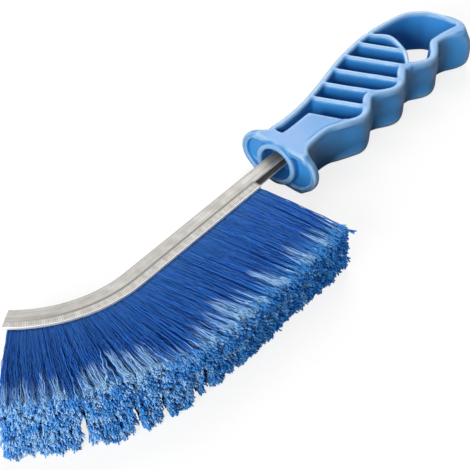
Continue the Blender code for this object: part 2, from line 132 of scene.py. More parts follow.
class BrushOpeningSizes(bpy.types.PropertyGroup):
    spine_rim: length("Spine rim", "Wall between the openings and the spine", 2.9)
    finger_rim: length("Finger rim", "Wall between the openings and a crest", 2.6)
    gain: FloatProperty(
        name="Wave gain", description="How much deeper the inner waves are than the grip's",
        default=1.5,
    )
    wave_lead: length("Wave lead", "How much sooner the inner waves come", 1.9)
    end_rim: length("End rim", "Wall at the end of the hang hole", 4.4)
    rib: length("Rib thickness", "Thickness of the slanted ribs", 2.3)
    rib_pitch: length("Rib pitch", "Distance between two ribs along the grip", 11.0)
    rib_x: length("First rib", "Place of the first rib", 37.0)
    rib_lean: angle("Rib lean", "Slant of the ribs from straight across", 24.0)
    block_end: length("Block end", "Where the solid block behind the guard ends", 25.6)
    slot_start: length("Slot start", "Where the slot beside the block starts", 8.6)
    slot: length("Slot width", "Width of the slot beside the block", 2.8)
    bow_x: length("Bowed rib", "Furthest place of the hang hole's bowed rib", 87.6)
    edge: length("Edge softness", "How far the moulded edges are rounded", 0.8)
    bead: length("Bead width", "Width of the round bead along the openings' edges", 2.6)
    draft: FloatProperty(
        name="Draft", description="Slope of the hang hole's wall, which is narrower below",
        default=0.065,
    )
    sink: length("Face depth", "How far the flat faces lie below the beads", 0.6)


class BrushGuardSizes(bpy.types.PropertyGroup):
    length: length("Guard length", "Length of the guard across the grip", 36.2)
    height: length("Guard height", "Height of the guard", 18.2)
    centre_y: length("Guard centre", "Middle of the guard's length", -0.1)
    front: length("Guard front", "Guard's front behind the ring's front", 1.8)
    thickness: length("Guard thickness", "Thickness of the guard", 3.2)
    wall: length("Guard wall", "Wall round the guard's recesses", 2.5)
    recess: length("Recess depth", "Depth of the recesses beside the ring", 2.0)
    ring: length("Ring radius", "Outer radius of the socket ring", 9.1)
    bore: length("Bore radius", "Radius of the socket's bore", 6.9)
    depth: length("Socket depth", "Depth of the socket", 8.0)
    ease: length("Edge easing", "Rounding of the guard's edges", 1.0)


class BrushStripSizes(bpy.types.PropertyGroup):
    sheet: length("Sheet", "Thickness of the sheet", 0.8)
    head_width: length("Head width", "Width of the channel's head", 5.0)
    head_height: length("Head height", "Height of the head above the crimp", 5.4)
    corner: length("Head corner", "Outer bend radius of the head", 1.2)
    leg_width: length("Leg width", "Width over the crimped legs", 4.2)
    height: length("Channel height", "Height from the back to the mouth", 8.8)
    back_y: length("Back place", "Back's distance from the socket's axis", 3.9)
    bend_x: length("Bend start", "Where the front bend starts", -80.5)
    bend_radius: length("Bend radius", "Radius of the front bend on the wire", 52.0)
    bend: angle("Bend", "How far the front is turned up", 51.0)
    front_run: length("Front run", "Straight length after the bend", 1.5)
    front_bare: length("Bare front", "Channel's length in front of the filaments", 1.6)
    brush_start: length("Brush start", "Where the crimped legs end", -14.5)
    tang_end: length("Tang end", "End of the tang inside the handle", 20.5)
    front_cut: length("Front cut", "How far the upper flank is cut back at the front", 1.6)
    tick: length("Crimp pitch", "Distance between two crimp marks", 0.75)
    tick_depth: length("Crimp depth", "Depth of a crimp mark", 0.12)


class BrushFilamentSizes(bpy.types.PropertyGroup):
    count: IntProperty(
        name="Filaments", description="Doubled filaments in the whole brush", default=7000,
        min=100, max=12000,
    )
    seed: IntProperty(name="Seed", description="Seed of the filaments' scatter", default=5)
    radius: length("Filament radius", "Half thickness of one filament", 0.15)
    free: length("Free length", "Length from the mouth to the tips", 42.3)
    uneven: length("Unevenness", "Spread of the tips' reach", 0.8)
    spread: length("Tip spread", "Thickness of the brush at its tips", 18.0)
    clump: length("Clump width", "Width of the clumps the tips gather in", 2.6)
    rear_lean: length("Rear lean", "How far the rear tips lean forward", 4.6)
    front_lean: length("Front lean", "How far the front tips lean back", 1.8)
    lean_run: length("Lean run", "Length of strip over which these leans fade", 32.0)


class BrushColours(bpy.types.PropertyGroup):
    plastic: colour("Handle", "Moulded plastic", "#3585C6")
    # A painted highlight: the paler tone painted on the grip's convex edges and beads
    plastic_highlight: colour("Handle edges", "Thin, rubbed edges of the plastic", "#A0C2DE")
    steel: colour("Channel", "Galvanised steel", "#9B9995")
    steel_dark: colour("Channel streaks", "Rolled-in streaks of the steel", "#6E6C69")
    # A painted highlight: the bright tone painted on the lips and the crimp marks' crests
    steel_highlight: colour("Burnished steel", "Lips and crests rubbed bright", "#E6E5E2")
    wire: colour("Wire", "Drawn steel wire", "#B4B2AE")
    filament: colour("Filaments", "Filaments near the channel", "#349CF0")
    filament_dark: colour("Filament shade", "Darker filaments", "#206EC4")
    # The ends' brighter blue and the pale split ends are partly the filaments' own paler tips and
    # partly painted highlight on the lit tip face and the cut ends
    tip: colour("Filament ends", "Brighter blue of the ends", "#50BCF2")
    split: colour("Split ends", "Split and bleached ends", "#C2E6FE")
    table: colour("Table", "Studio table", "#3A3A39")


GROUPS = (
    ("brush_grip", "Grip", BrushGripSizes),
    ("brush_openings", "Openings", BrushOpeningSizes),
    ("brush_guard", "Guard", BrushGuardSizes),
    ("brush_strip", "Channel", BrushStripSizes),
    ("brush_filaments", "Filaments", BrushFilamentSizes),
    ("brush_colours", "Colours", BrushColours),
)


def add_node(tree, kind, inputs=None, **settings):
    """Add a shader node with its settings. An input is a value, a colour, a socket to link
    from, or a node, whose first output in use is linked."""
    node = tree.nodes.new("ShaderNode" + kind)
    for name, value in settings.items():
        setattr(node, name, value)
    for name, value in (inputs or {}).items():
        if isinstance(value, bpy.types.Node):
            value = next(output for output in value.outputs if output.enabled)
        if isinstance(value, bpy.types.NodeSocket):
            tree.links.new(value, node.inputs[name])
        else:
            node.inputs[name].default_value = (*value, 1.0) if isinstance(value, Color) else value
    return node


def new_material(name):
    """An empty material and its node tree."""
    mat = bpy.data.materials.new(name)
    mat.use_nodes = True
    mat.node_tree.nodes.clear()
    return mat, mat.node_tree


def set_ramp(node, stops):
    """Give a colour ramp its stops as (place, grey) pairs."""
    elements = node.color_ramp.elements
    while len(elements) > len(stops):
        elements.remove(elements[-1])
    while len(elements) < len(stops):
        elements.new(1.0)
    for element, (place, grey) in zip(elements, stops):
        element.position = place
        element.color = (grey, grey, grey, 1.0)


def moulded_polypropylene(colours):
    """Polypropylene from a satin-textured mould: broad soft gloss, and a painted highlight on its
    thin convex edges.
    """
    mat, tree = new_material("polypropylene_satin_moulded")
    place = add_node(tree, "TexCoord").outputs["Object"]
    # Mould grain of about 0.35 mm, drawn at 0.6 mm so that it shows
    grain = add_node(tree, "TexNoise", {"Vector": place, "Scale": 1 / (0.6 * MM), "Detail": 3.0})
    # Flow marks a few centimetres long, seen only as a slight change of gloss
    flow = add_node(tree, "TexNoise", {"Vector": place, "Scale": 1 / (22 * MM), "Detail": 2.0})
    gloss = add_node(tree, "MapRange", {
        "Value": flow, "From Min": 0.3, "From Max": 0.7, "To Min": 0.32, "To Max": 0.41,
    })
    # Painted highlight: a paler tone mixed in on the convex edges and beads
    painted_highlight = add_node(tree, "Attribute", attribute_name="painted_highlight").outputs["Fac"]
    tone = add_node(tree, "Mix", {
        "Factor": painted_highlight, "A": colours.plastic, "B": colours.plastic_highlight,
    }, data_type="RGBA")
    bump = add_node(tree, "Bump", {"Height": grain, "Strength": 0.25, "Distance": 0.03 * MM})
    shader = add_node(tree, "BsdfPrincipled", {
        "Base Color": tone, "Roughness": gloss, "IOR": 1.49, "Specular IOR Level": 0.38,
        "Normal": bump,
    })
    add_node(tree, "OutputMaterial", {"Surface": shader})
    return mat


def galvanised_strip(colours):
    """Zinc-coated steel strip, cold rolled and folded: grey, with fine streaks along it."""
    mat, tree = new_material("galvanised_steel_roll_folded")
    along = add_node(tree, "UVMap", uv_map="strip").outputs["UV"]
    # Roll streaks: 0.3 mm wide and some 45 mm long; the map is in metres
    stretched = add_node(tree, "Mapping", {"Vector": along, "Scale": (22.0, 1 / (0.3 * MM), 1.0)})
    streaks = add_node(tree, "TexNoise", {
        "Vector": stretched, "Scale": 1.0, "Detail": 4.0, "Roughness": 0.6,
    })
    # Zinc bloom in patches of about 4 mm
    place = add_node(tree, "TexCoord").outputs["Object"]
    bloom = add_node(tree, "TexNoise", {"Vector": place, "Scale": 1 / (4 * MM), "Detail": 3.0})
    shade = add_node(tree, "ValToRGB", {"Fac": streaks})
    set_ramp(shade, [(0.36, 0.5), (0.56, 0.0)])
    tone = add_node(tree, "Mix", {
        "Factor": shade, "A": colours.steel, "B": colours.steel_dark,
    }, data_type="RGBA")
    # A painted highlight: the lips and the crimp marks' crests are painted bright
    painted_highlight = add_node(tree, "Attribute", attribute_name="painted_highlight").outputs["Fac"]
    tone = add_node(tree, "Mix", {
        "Factor": painted_highlight, "A": tone, "B": colours.steel_highlight,
    }, data_type="RGBA")
    gloss = add_node(tree, "MapRange", {
        "Value": bloom, "From Min": 0.3, "From Max": 0.7, "To Min": 0.62, "To Max": 0.74,
    })
    bump = add_node(tree, "Bump", {"Height": streaks, "Strength": 0.25, "Distance": 0.03 * MM})
    shader = add_node(tree, "BsdfPrincipled", {
        "Base Color": tone, "Roughness": gloss, "Metallic": 1.0, "Normal": bump,
    })
    add_node(tree, "OutputMaterial", {"Surface": shader})
    return mat


def drawn_wire(colours):
    """Bright drawn steel wire: its fine die lines break up the gloss."""
    mat, tree = new_material("steel_wire_drawn")
    place = add_node(tree, "TexCoord").outputs["Object"]
    lines = add_node(tree, "TexNoise", {"Vector": place, "Scale": 1 / (0.3 * MM), "Detail": 2.0})
    gloss = add_node(tree, "MapRange", {"Value": lines, "To Min": 0.25, "To Max": 0.45})
    shader = add_node(tree, "BsdfPrincipled", {
        "Base Color": colours.wire, "Roughness": gloss, "Metallic": 1.0,
    })
    add_node(tree, "OutputMaterial", {"Surface": shader})
    return mat


def extruded_filament(colours):
    """Extruded synthetic filament: royal blue and silky, with tips split into paler hairs, whose
    paleness is partly painted highlight.
    """
    mat, tree = new_material("synthetic_filament_extruded")
    facts = add_node(tree, "Attribute", attribute_name="strand").outputs["Vector"]
    parts = add_node(tree, "SeparateXYZ", {"Vector": facts})
    along, chance, tuft = (parts.outputs[axis] for axis in ("X", "Y", "Z"))
    body = add_node(tree, "Mix", {
        "Factor": chance, "A": colours.filament, "B": colours.filament_dark,
    }, data_type="RGBA")
    # Partly painted highlight: the last quarter of each filament turns to the brighter end blue
    bright = add_node(tree, "MapRange", {"Value": along, "From Min": 0.75, "From Max": 1.0})
    deep = add_node(tree, "MapRange", {"Value": chance, "To Min": 0.0, "To Max": 0.5})
    tip = add_node(tree, "Mix", {
        "Factor": deep, "A": colours.tip, "B": colours.filament,
    }, data_type="RGBA")
    end = add_node(tree, "Mix", {"Factor": bright, "A": body, "B": tip}, data_type="RGBA")
    # Each tuft turns pale at its own place, between half of its length and the tip
    fade_in = 0.14
    start = add_node(tree, "MapRange", {"Value": tuft, "To Min": 0.5, "To Max": 1.0})
    full = add_node(tree, "Math", {0: start, 1: fade_in}, operation="ADD")
    pale = add_node(tree, "MapRange", {
        "Value": along, "From Min": start, "From Max": full, "To Min": 0.0, "To Max": 0.95,
    }, interpolation_type="SMOOTHSTEP")
    # In a pale tuft nearly all of the hairs take the pale tone, and in a dark one only a few; at the
    # tips these pale hairs are partly painted highlight of the cut ends
    fade_out = 0.5
    last = add_node(tree, "MapRange", {
        "Value": tuft, "From Min": 0.2, "From Max": 0.66, "To Min": 0.85, "To Max": -0.2,
    })
    none = add_node(tree, "Math", {0: last, 1: fade_out}, operation="ADD")
    weak = add_node(tree, "MapRange", {
        "Value": chance, "From Min": last, "From Max": none, "To Min": 1.0, "To Max": 0.1,
    })
    share = add_node(tree, "Math", {0: pale, 1: weak}, operation="MULTIPLY")
    tone = add_node(tree, "Mix", {
        "Factor": share, "A": end, "B": colours.split,
    }, data_type="RGBA")
    gloss = add_node(tree, "MapRange", {"Value": chance, "To Min": 0.38, "To Max": 0.6})
    hull = add_node(tree, "BsdfPrincipled", {
        "Base Color": tone, "Roughness": gloss, "IOR": 1.5, "Specular IOR Level": 0.3,
    })
    # Light passes through a thin filament, so that tufts glow a little from inside
    let_through = 0.6
    through = add_node(tree, "BsdfTranslucent", {"Color": tone})
    shader = add_node(tree, "MixShader", {0: let_through, 1: hull, 2: through})
    add_node(tree, "OutputMaterial", {"Surface": shader})
    return mat


def seen_rays(tree):
    """1 for the rays of the camera, of gloss and of see-through pieces, else 0."""
    rays = add_node(tree, "LightPath").outputs
    seen = add_node(tree, "Math", {0: rays["Is Camera Ray"], 1: rays["Is Glossy Ray"]},
                    operation="MAXIMUM")
    return add_node(tree, "Math", {0: seen, 1: rays["Is Transmission Ray"]}, operation="MAXIMUM")


def table_material(colours):
    """Matt board that the camera and the gloss see as white, with the brush's soft shadow."""
    mat, tree = new_material("matt_board")
    place = add_node(tree, "TexCoord").outputs["Object"]
    # Paper fibres of about 3 mm
    fibre = add_node(tree, "TexNoise", {"Vector": place, "Scale": 1 / (3 * MM), "Detail": 2.0})
    bump = add_node(tree, "Bump", {"Height": fibre, "Strength": 0.1, "Distance": 0.02 * MM})
    glow = add_node(tree, "Emission", {"Color": WHITE, "Strength": 1.0})
    tone = add_node(tree, "Mix", {
        "Factor": seen_rays(tree), "A": colours.table, "B": WHITE,
    }, data_type="RGBA")
    board = add_node(tree, "BsdfDiffuse", {"Color": tone, "Normal": bump})
    # To the camera, four fifths of the board are plain white, and the rest is lit and shaded
    plain_share = 0.82
    camera = add_node(tree, "LightPath").outputs["Is Camera Ray"]
    share = add_node(tree, "Math", {0: camera, 1: plain_share}, operation="MULTIPLY")
    shader = add_node(tree, "MixShader", {0: share, 1: board, 2: glow})
    add_node(tree, "OutputMaterial", {"Surface": shader})
    return mat


def spline(points, steps):
    """Catmull-Rom curve through plan points, with equal steps in each span."""
    points = np.array(points)
    last = len(points) - 1
    t = np.linspace(0.0, 1.0, steps, endpoint=False)[:, None]
    curve = []
    for i in range(last):
        p0, p1, p2, p3 = (points[min(max(i + k, 0), last)] for k in (-1, 0, 1, 2))
        square = (2 * p0 - 5 * p1 + 4 * p2 - p3) * t ** 2
        cube = (3 * p1 - p0 - 3 * p2 + p3) * t ** 3
        curve.append(0.5 * (2 * p1 + (p2 - p0) * t + square + cube))
    return np.vstack(curve + [points[-1:]])


def smooth_step(value, start, end):
    t = np.clip((value - start) / (end - start), 0.0, 1.0)
    return t * t * (3 - 2 * t)


def soft_max(a, b, reach):
    """Larger of two distances; where they meet, the edge is rounded over about this reach."""
    near = np.maximum(reach - np.abs(a - b), 0.0) / reach
    return np.maximum(a, b) + near * near * reach / 4


def soft_min(a, b, reach):
    return -soft_max(-a, -b, reach)


def plan_distance(ring, x, y):
    """Signed distance to a closed plan outline, less than 0 inside, and the nearest side."""
    nearest = np.full(x.shape, np.inf)
    side = np.zeros(x.shape, int)
    inside = np.zeros(x.shape, bool)
    for i in range(len(ring)):
        a = ring[i - 1]
        ex, ey = ring[i] - a
        size = ex * ex + ey * ey
        if size == 0:
            continue
        wx, wy = x - a[0], y - a[1]
        t = np.clip((wx * ex + wy * ey) / size, 0.0, 1.0)
        gap = (wx - t * ex) ** 2 + (wy - t * ey) ** 2
        closer = gap < nearest
        nearest[closer] = gap[closer]
        side[closer] = i
        if ey != 0:
            crosses = (a[1] > y) != (a[1] + ey > y)
            inside ^= crosses & (x < a[0] + (y - a[1]) * ex / ey)
    return np.where(inside, -1.0, 1.0) * np.sqrt(nearest), side


def sample(field, places):
    """Read a sampled field between its grid points, at places counted in grid steps."""
    limit = np.array(field.shape) - 2
    low = np.clip(np.floor(places).astype(int), 0, limit)
    t = places - low
    value = 0.0
    for corner in range(8):
        bits = np.array([corner >> 2 & 1, corner >> 1 & 1, corner & 1])
        weight = np.prod(np.where(bits, t, 1 - t), axis=1)
        cell = low + bits
        value = value + weight * field[cell[:, 0], cell[:, 1], cell[:, 2]]
    return value


def surface_net(field):
    """Quads where a sampled field crosses zero, with one point in each crossed cell."""
    inside = field < 0
    cells = np.array(field.shape) - 1
    total = np.zeros((*cells, 3))
    count = np.zeros(cells)
    edges = []
    for axis in range(3):
        low = tuple(slice(0, -1) if k == axis else slice(None) for k in range(3))
        high = tuple(slice(1, None) if k == axis else slice(None) for k in range(3))
        crossed = inside[low] != inside[high]
        gap = np.where(crossed, field[low] - field[high], 1.0)
        t = np.where(crossed, field[low] / gap, 0.0)
        u, v = (k for k in range(3) if k != axis)
        for du in (0, 1):
            for dv in (0, 1):
                part = [slice(None)] * 3
                part[u] = slice(du, du + cells[u])
                part[v] = slice(dv, dv + cells[v])
                hit = crossed[tuple(part)]
                count += hit
                total[..., axis] += t[tuple(part)]
                total[..., u] += hit * du
                total[..., v] += hit * dv
        edges.append((axis, u, v, np.argwhere(crossed), inside[low][crossed]))
    used = count > 0
    number = np.full(cells, -1)
    number[used] = np.arange(used.sum())
    points = np.argwhere(used) + total[used] / count[used][:, None]
    quads = []
    for axis, u, v, starts, solid in edges:
        corners = []
        for du, dv in ((-1, -1), (0, -1), (0, 0), (-1, 0)):
            cell = starts.copy()
            cell[:, u] += du
            cell[:, v] += dv
            corners.append(number[cell[:, 0], cell[:, 1], cell[:, 2]])
        quad = np.stack(corners, axis=1)
        turned = solid if axis == 1 else ~solid
        quad[turned] = quad[turned][:, ::-1]
        quads.append(quad)
    return points, np.vstack(quads)


def add_piece(name, points, faces, material, body="root"):
    """A smooth mesh piece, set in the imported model's frame and riding on a body."""
    mesh = bpy.data.meshes.new(name)
    mesh.from_pydata(points, [], faces)
    mesh.shade_smooth()
    mesh.materials.append(material)
    piece = bpy.data.objects.new(name, mesh)
    bpy.context.scene.collection.objects.link(piece)
    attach(piece, body)
    return piece


def set_painted_highlight(mesh, amount):
    """Store how far the painted highlight shows at each vertex."""
    layer = mesh.attributes.new("painted_highlight", "FLOAT", "POINT")
    layer.data.foreach_set("value", np.clip(amount, 0.0, 1.0).ravel())


def edge_highlight(mesh):
    """How far each vertex stands out from its neighbours, evened out over the surface."""
    count = len(mesh.vertices)
    ends = np.zeros(len(mesh.edges) * 2, int)
    place = np.zeros(count * 3)
    normal = np.zeros(count * 3)
    mesh.edges.foreach_get("vertices", ends)
    mesh.vertices.foreach_get("co", place)
    mesh.vertices.foreach_get("normal", normal)
    place, normal = place.reshape(-1, 3), normal.reshape(-1, 3)
    a, b = ends.reshape(-1, 2).T
    degree = np.bincount(a, minlength=count) + np.bincount(b, minlength=count)

    def around(value):
        total = np.bincount(a, value[b], count) + np.bincount(b, value[a], count)
        return total / np.maximum(degree, 1)

    mean = np.stack([around(place[:, axis]) for axis in range(3)], axis=1)
    stand = ((place - mean) * normal).sum(axis=1)
    for _ in range(4):
        stand = 0.5 * stand + 0.5 * around(stand)
    return stand


# Crests between the fingers, apart from the pommel, and ribs across the grip
CRESTS = 3
RIBS = 5


def grip_outline(grip, steps):
    """Mid-plane outline: finger side from the guard back, round the end, along the spine."""
    front, flare_end = -4 * MM, 3 * MM
    finger_flare = -grip.neck_reach - grip.neck_flare
    spine_flare = grip.spine_neck + grip.neck_flare
    points = [(front, finger_flare), (flare_end, finger_flare), (grip.neck_x, -grip.neck_reach)]
    first_hollow = -(2 * grip.neck_reach + grip.crest_reach) / 3
    points.append((grip.crest_x - grip.pitch / 2, first_hollow))
    for i in range(CRESTS):
        crest = grip.crest_x + i * grip.pitch
        points.append((crest, -grip.crest_reach))
        points.append((crest + grip.pitch / 2, -grip.crest_reach + grip.hollow))
    # Round the end, in shares of the run past the pommel and of each side's reach
    run = grip.end_x - grip.pommel_x
    points.append((grip.pommel_x, -grip.pommel_reach))
    for back, out in ((0.3, -0.8), (0.0, -0.42)):
        points.append((grip.end_x - back * run, out * grip.pommel_reach))
    for back, out in ((0.1, 0.1), (0.6, 0.5)):
        points.append((grip.end_x - back * run, out * grip.spine_peak))
    # Down the spine, in shares of the run and the rise between the neck and the peak
    run = grip.spine_x - grip.neck_x
    rise = grip.spine_peak - grip.spine_neck
    points.append((grip.spine_x + 0.3 * run, 0.82 * grip.spine_peak))
    points.append((grip.spine_x, grip.spine_peak))
    for along, up in ((0.7, 0.84), (0.42, 0.36), (0.2, 0.06)):
        points.append((grip.neck_x + along * run, grip.spine_neck + up * rise))
    points.append((grip.neck_x, grip.spine_neck))
    points += [(flare_end, spine_flare), (front, spine_flare)]
    return spline(points, steps)


def outline_y(outline, x, spine):
    """Y of the outline at x, on its spine or its finger side."""
    peak = int(np.argmax(outline[:, 0]))
    side = outline[peak:][::-1] if spine else outline[:peak + 1]
    return np.interp(x, side[:, 0], side[:, 1])


def opening_y(outline, grip, openings, x, spine):
    """Edge of the openings at x; the finger side's waves are deeper there and come sooner."""
    if spine:
        return outline_y(outline, x, True) - openings.spine_rim
    y = outline_y(outline, x + openings.wave_lead, False)
    return openings.finger_rim - grip.crest_reach + (y + grip.crest_reach) * openings.gain


def opening_rings(outline, grip, openings):
    """Plan outlines of the ribbed opening, with its slot, and of the hang hole."""
    def edge(x_from, x_to, spine, steps=60):
        x = np.linspace(x_from, x_to, steps)
        return np.stack([x, opening_y(outline, grip, openings, x, spine)], axis=1)

    # The bowed rib's edge in the hang hole, from the spine to its foot on the finger side
    foot_x = 76.8 * MM
    top_x = openings.bow_x - 3.7 * MM
    top = (top_x, opening_y(outline, grip, openings, top_x, True))
    foot = (foot_x, opening_y(outline, grip, openings, foot_x, False))
    peak = (openings.bow_x, 7 * MM)
    low = (peak[0] + 0.42 * (foot[0] - peak[0]), peak[1] + 0.64 * (foot[1] - peak[1]))
    bow = spline([top, peak, low, foot], 16)

    slot_y = opening_y(outline, grip, openings, openings.block_end, True) - openings.slot
    lean = math.tan(openings.rib_lean)
    block_foot = openings.block_end + (slot_y + grip.neck_reach) * lean
    bow_rib = 1.15 * openings.rib
    near = bow - np.array([bow_rib, 0.0])
    field = np.vstack([
        [(openings.slot_start, slot_y), (openings.block_end, slot_y)],
        edge(block_foot, near[-1, 0], False),
        near[-2::-1],
        edge(openings.slot_start, near[0, 0], True)[-2::-1],
    ])

    # The hang hole's sill bows in a little between its last hollow and its end corner
    bow_in = 0.4 * MM
    corner = np.array([grip.end_x - openings.end_rim, -9.8 * MM])
    last_hollow = grip.crest_x + (CRESTS - 0.5) * grip.pitch - openings.wave_lead
    sill = edge(foot_x, last_hollow, False)
    middle = (sill[-1] + corner) / 2 + np.array([0.0, bow_in])
    normals = plan_normals(outline)
    far = (outline[:, 0] > openings.bow_x) & (outline[:, 1] > corner[1] + openings.spine_rim)
    thicker = openings.end_rim - openings.spine_rim
    rim = openings.spine_rim + thicker * np.maximum(normals[:, 0], 0)
    far_side = (outline - normals * rim[:, None])[far]
    sill_end = spline([sill[-1], middle, corner], 8)[1:]
    hang = np.vstack([bow[:-1], sill, sill_end, far_side])
    field_corner, hang_corner = 1.0 * MM, 0.9 * MM
    return rounded_ring(field, field_corner), rounded_ring(hang, hang_corner)


def rounded_ring(ring, reach):
    """The closed outline with its corners rounded over about this reach."""
    step = reach / 6
    spread = 4
    closed = np.vstack([ring, ring[:1]])
    along = np.concatenate([[0.0], np.cumsum(np.linalg.norm(np.diff(closed, axis=0), axis=1))])
    count = int(along[-1] / step)
    places = np.arange(count) * along[-1] / count
    even = np.stack([np.interp(places, along, closed[:, axis]) for axis in (0, 1)], axis=1)
    offsets = np.arange(-3 * spread, 3 * spread + 1)
    weights = np.exp(-0.5 * (offsets / spread) ** 2)
    weights /= weights.sum()
    return sum(weight * np.roll(even, k, axis=0) for weight, k in zip(weights, offsets))


def plan_normals(outline):
    """Outward normals of an outline that runs counter-clockwise."""
    step = np.gradient(outline, axis=0)
    normals = np.stack([step[:, 1], -step[:, 0]], axis=1)
    return normals / np.linalg.norm(normals, axis=1)[:, None]


def rounded_slab(radial, axial, ease):
    """Distance to a plate from its in-plane and its thickness distances, edges eased."""
    out = np.hypot(np.maximum(radial + ease, 0.0), np.maximum(axial + ease, 0.0))
    return out - ease + np.minimum(np.maximum(radial, axial) + ease, 0.0)


# Fullness of the grip's section: 2 gives an oval, and more a squarer one
FULLNESS = 2.4
GRID_STEP = 0.55 * MM

# Fillets between the moulding's forms, and easings of its edges
RIB_FILLET = 1.2 * MM
BEAD_FILLET = 1.2 * MM
FINGER_FILLET = 4.5 * MM
GUARD_FILLET = 3.5 * MM
RECESS_EASE = 0.8 * MM
RING_EASE = 0.7 * MM
BORE_EASE = 0.9 * MM

# Gap between the moulding and the tang all round
FIT_GAP = 0.3 * MM

# Course in millimetres of the bead that runs from the guard along the block's finger side
BEAD_COURSE = (
    (0, -10.2), (5, -9.5), (9, -8.6), (13, -8.2), (19, -8.1),
    (23, -8.9), (27, -11.0), (31, -12.8), (35, -14.2),
)

# How far a vertex stands out where the painted highlight starts, and until it is full
HIGHLIGHT_START = 0.005 * MM
HIGHLIGHT_RANGE = 0.065 * MM


def evened(values, reach):
    """Plan values evened out, twice along each axis, over this many grid steps either way."""
    for axis in (0, 1, 0, 1):
        values = sum(np.roll(values, k, axis) for k in range(-reach, reach + 1)) / (2 * reach + 1)
    return values


def handle_field(scene, step):
    """Distance field of the whole moulding on a grid, and the grid's first corner."""
    grip, openings = scene.brush_grip, scene.brush_openings
    guard, strip = scene.brush_guard, scene.brush_strip
    half = grip.thickness / 2
    spare, spare_height = 1.5 * MM, 1.2 * MM
    reach = max(grip.pommel_reach, guard.length / 2 - guard.centre_y) + spare
    low = np.array([-spare, -reach, -half - spare_height])
    high = np.array([grip.end_x + spare, reach, half + spare_height])
    axes = [np.arange(a, b + step, step) for a, b in zip(low, high)]
    x2, y2 = np.meshgrid(axes[0], axes[1], indexing="ij")
    x, y, z = x2[:, :, None], y2[:, :, None], axes[2][None, None, :]

    outline = grip_outline(grip, 16)
    normals = plan_normals(outline)
    to_finger = grip.neck_round + (grip.finger_round - grip.neck_round) * smooth_step(
        outline[:, 0], grip.neck_x, grip.crest_x)
    to_end = grip.end_round * smooth_step(outline[:, 0], grip.pommel_x - grip.end_round, grip.end_x)
    to_side = np.where(normals[:, 1] > 0, grip.spine_round, to_finger)
    round_in = normals[:, 0] ** 2 * to_end + normals[:, 1] ** 2 * to_side
    gap, side = plan_distance(outline, x2, y2)
    # The rounding changes gradually where two sides meet inside the grip
    least_round = 1.5 * MM
    spread = evened(np.maximum(round_in[side], least_round), 4)
    gap = gap + (evened(gap, 3) - gap) * smooth_step(-gap, 0.3 * MM, 2.5 * MM)
    across = np.clip(1 + gap / spread, 0.0, None)[:, :, None]
    level = (across ** FULLNESS + np.abs(z / half) ** FULLNESS) ** (1 / FULLNESS) - 1
    slope = np.sqrt(sum(g * g for g in np.gradient(level, step)))
    least_slope = 0.3 / half
    body = level / np.maximum(slope, least_slope)
    grip_start = guard.front + 1 * MM
    body = np.maximum(body, grip_start - x)
    # The flat faces sink below the beads gradually, behind the guard
    sink = openings.sink * smooth_step(x, 5 * MM, 16 * MM)
    body = np.maximum(body, np.abs(z) - (half - sink))

    field, hang = opening_rings(outline, grip, openings)
    opening = plan_distance(field, x2, y2)[0]
    lean = openings.rib_lean
    for i in range(RIBS):
        centre = openings.rib_x + i * openings.rib_pitch
        rib = np.abs((x2 - centre) * math.cos(lean) + y2 * math.sin(lean)) - openings.rib / 2
        opening = soft_max(opening, -rib, RIB_FILLET)
    hang = plan_distance(hang, x2, y2)[0]
    drafted = np.minimum(opening[:, :, None], hang[:, :, None] + openings.draft * (half - z))
    opening = np.minimum(opening, hang)

    # A round bead runs along the openings' edges but not beside the block, which has its own
    bead = openings.bead / 2
    far_off = 9 * MM
    slot_y = opening_y(outline, grip, openings, openings.block_end, True) - openings.slot
    block_end = openings.block_end + (slot_y - y2) * math.tan(lean)
    block = (y2 < slot_y) & (x2 < block_end) & (x2 > openings.slot_start - 2 * MM)
    to_edge = np.where(block, far_off, np.abs(opening - bead))
    course = spline(BEAD_COURSE, 6) * MM
    course = np.vstack([course, course[-2:0:-1]])
    to_edge = np.minimum(to_edge, np.abs(plan_distance(course, x2, y2)[0]))[:, :, None]
    roll = np.hypot(to_edge, np.abs(z) - (half - bead)) - bead
    # Its fillet broadens on the finger side behind the block
    broad = smooth_step(-y, 0.0, 6 * MM) * smooth_step(x, 24 * MM, 38 * MM)
    blend = BEAD_FILLET + (FINGER_FILLET - BEAD_FILLET) * broad
    solid = soft_min(body, np.maximum(roll, grip_start - x), blend)
    solid = np.maximum(solid, np.abs(z) - half)
    solid = soft_max(solid, -drafted, openings.edge)

    def stadium(inset):
        straight = np.maximum(np.abs(y - guard.centre_y) - (guard.length - guard.height) / 2, 0.0)
        return np.hypot(straight, z) - guard.height / 2 + inset

    middle = guard.front + guard.thickness / 2
    flange = rounded_slab(stadium(0.0), np.abs(x - middle) - guard.thickness / 2, guard.ease)
    solid = np.maximum(soft_min(solid, flange, GUARD_FILLET), np.abs(z) - half)
    floor = guard.front + guard.recess
    recess = rounded_slab(stadium(guard.wall), x - floor, guard.ease)
    solid = soft_max(solid, -recess, RECESS_EASE)
    radius = np.hypot(y, z)
    back = guard.front + guard.thickness
    ring = rounded_slab(radius - guard.ring, np.maximum(-x, x - back), RING_EASE)
    solid = soft_min(solid, ring, RING_EASE)
    solid = soft_max(solid, -np.maximum(radius - guard.bore, x - guard.depth), BORE_EASE)
    tang_y = strip.back_y - strip.head_height / 2
    pocket = np.maximum(np.abs(y - tang_y) - strip.head_height / 2 - FIT_GAP,
                        np.abs(z) - strip.head_width / 2 - FIT_GAP)
    pocket = np.maximum(pocket, x - strip.tang_end - FIT_GAP)
    return np.maximum(solid, -pocket), low


